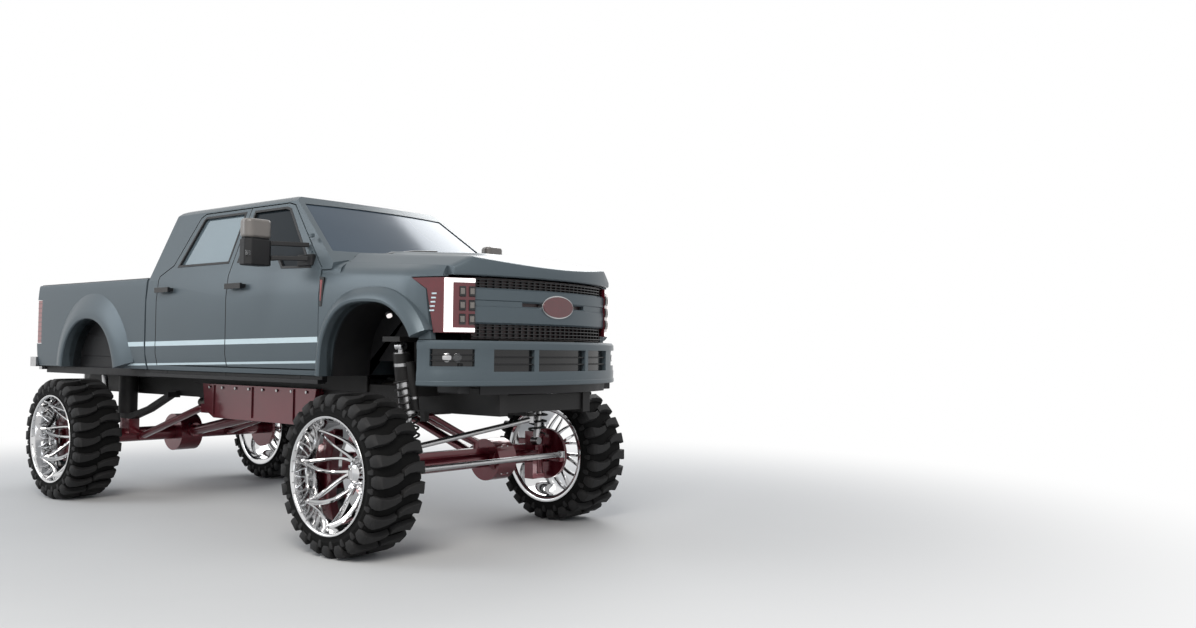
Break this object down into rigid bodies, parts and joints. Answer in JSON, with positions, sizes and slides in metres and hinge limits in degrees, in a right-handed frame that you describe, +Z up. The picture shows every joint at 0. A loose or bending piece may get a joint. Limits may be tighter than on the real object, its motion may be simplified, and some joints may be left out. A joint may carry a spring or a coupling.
{
  "type": "lifted pickup truck",
  "caption": "Lifted crew-cab pickup truck with steered solid front axle, deep-dish wheels, mud tyres, opening doors, hood and tailgate.",
  "frame": {"origin": "on the ground, below the middle of the truck's length and width", "axes": "+X forward, +Y to the left side, +Z up"},
  "size_m": [6.26, 2.66, 2.6193],
  "materials": {
    "body_paint": "metallic slate-grey gloss paint",
    "frame_black": "satin black paint",
    "red_coat": "candy-red powder coat",
    "engine_metal": "bare cast metal",
    "exhaust_metal": "dull steel",
    "steel": "bright machined steel",
    "black_plastic": "textured black plastic",
    "dark_gloss": "dark gloss",
    "lamp_lens": "clear lens over a dark red inside",
    "window_glass": "tinted glass",
    "seat_leather": "black leather",
    "wheel_chrome": "polished",
    "tyre_rubber": "black rubber",
    "knuckle_metal": "candy-red powder coat"
  },
  "bodies": {
    "chassis": {"frame_rails": "frame_black", "lift_frame": "red_coat", "engine": "engine_metal", "drive_shafts": "steel", "exhaust": "exhaust_metal", "fuel_tank": "black_plastic", "front_axle": "red_coat", "rear_axle": "red_coat", "suspension_arms": "red_coat", "dampers": "steel", "rear_springs": "frame_black", "cab_shell": "body_paint", "cab_windows": "window_glass", "seats": "seat_leather", "dashboard": "black_plastic", "front_fenders": "body_paint", "grille": "dark_gloss", "lamps": "lamp_lens", "front_bumper": "body_paint", "bed": "body_paint", "rear_bumper": "body_paint", "side_steps": "black_plastic"},
    "hood": {"hood": "body_paint"},
    "tailgate": {"tailgate": "body_paint"},
    "knuckle_left": {"knuckle_left": "knuckle_metal"},
    "knuckle_right": {"knuckle_right": "knuckle_metal"},
    "tie_rod": {"tie_rod": "steel"},
    "drag_link": {"drag_link": "steel"},
    "pitman_arm": {"pitman_arm": "steel"},
    "door_front_left": {"door_front_left": "body_paint", "glass_front_left": "window_glass"},
    "wheel_front_left": {"rim_front_left": "wheel_chrome", "tyre_front_left": "tyre_rubber"},
    "door_front_right": {"door_front_right": "body_paint", "glass_front_right": "window_glass"},
    "wheel_front_right": {"rim_front_right": "wheel_chrome", "tyre_front_right": "tyre_rubber"},
    "door_rear_left": {"door_rear_left": "body_paint", "glass_rear_left": "window_glass"},
    "wheel_rear_left": {"rim_rear_left": "wheel_chrome", "tyre_rear_left": "tyre_rubber"},
    "door_rear_right": {"door_rear_right": "body_paint", "glass_rear_right": "window_glass"},
    "wheel_rear_right": {"rim_rear_right": "wheel_chrome", "tyre_rear_right": "tyre_rubber"}
  },
  "joints": [
    {"name": "steer_left", "type": "hinge", "parent": "chassis", "child": "knuckle_left", "pos_m": [2.16, 0.8, 0.545], "axis": [0, 0, 1], "range_deg": [-32, 32]},
    {"name": "steer_right", "type": "hinge", "parent": "chassis", "child": "knuckle_right", "pos_m": [2.16, -0.8, 0.545], "axis": [0, 0, 1], "range_deg": [-32, 32]},
    {"name": "pitman_turn", "type": "hinge", "parent": "chassis", "child": "pitman_arm", "pos_m": [2.16, 0.43, 0.895], "axis": [0, 0, 1], "range_deg": [-32, 32]},
    {"name": "tie_rod_pivot", "type": "hinge", "parent": "knuckle_left", "child": "tie_rod", "pos_m": [2.41, 0.8, 0.56], "axis": [0, 0, 1], "range_deg": [-32, 32]},
    {"name": "drag_link_pivot", "type": "hinge", "parent": "pitman_arm", "child": "drag_link", "pos_m": [2.41, 0.43, 0.855], "axis": [0, 0, 1], "range_deg": [-32, 32]},
    {"name": "spin_front_left", "type": "hinge", "parent": "knuckle_left", "child": "wheel_front_left", "pos_m": [2.16, 1.08, 0.545], "axis": [0, 1, 0], "continuous": true},
    {"name": "spin_rear_left", "type": "hinge", "parent": "chassis", "child": "wheel_rear_left", "pos_m": [-1.896, 1.08, 0.545], "axis": [0, 1, 0], "continuous": true},
    {"name": "spin_front_right", "type": "hinge", "parent": "knuckle_right", "child": "wheel_front_right", "pos_m": [2.16, -1.08, 0.545], "axis": [0, 1, 0], "continuous": true},
    {"name": "spin_rear_right", "type": "hinge", "parent": "chassis", "child": "wheel_rear_right", "pos_m": [-1.896, -1.08, 0.545], "axis": [0, 1, 0], "continuous": true},
    {"name": "door_front_left_hinge", "type": "hinge", "parent": "chassis", "child": "door_front_left", "pos_m": [1.59, 0.96, 1.6], "axis": [0, 0, -1], "range_deg": [0, 65]},
    {"name": "door_rear_left_hinge", "type": "hinge", "parent": "chassis", "child": "door_rear_left", "pos_m": [0.381, 0.96, 1.6], "axis": [0, 0, -1], "range_deg": [0, 65]},
    {"name": "door_front_right_hinge", "type": "hinge", "parent": "chassis", "child": "door_front_right", "pos_m": [1.59, -0.96, 1.6], "axis": [0, 0, 1], "range_deg": [0, 65]},
    {"name": "door_rear_right_hinge", "type": "hinge", "parent": "chassis", "child": "door_rear_right", "pos_m": [0.381, -0.96, 1.6], "axis": [0, 0, 1], "range_deg": [0, 65]},
    {"name": "hood_hinge", "type": "hinge", "parent": "chassis", "child": "hood", "pos_m": [1.66, 0, 2.125], "axis": [0, -1, 0], "range_deg": [0, 50]},
    {"name": "tailgate_hinge", "type": "hinge", "parent": "chassis", "child": "tailgate", "pos_m": [-2.965, 0, 1.331], "axis": [0, -1, 0], "range_deg": [0, 90]}
  ],
  "couplings": [
    {"joint": "steer_right", "follows": "steer_left", "ratio": 1},
    {"joint": "pitman_turn", "follows": "steer_left", "ratio": 1},
    {"joint": "tie_rod_pivot", "follows": "steer_left", "ratio": -1},
    {"joint": "drag_link_pivot", "follows": "steer_left", "ratio": -1}
  ]
}
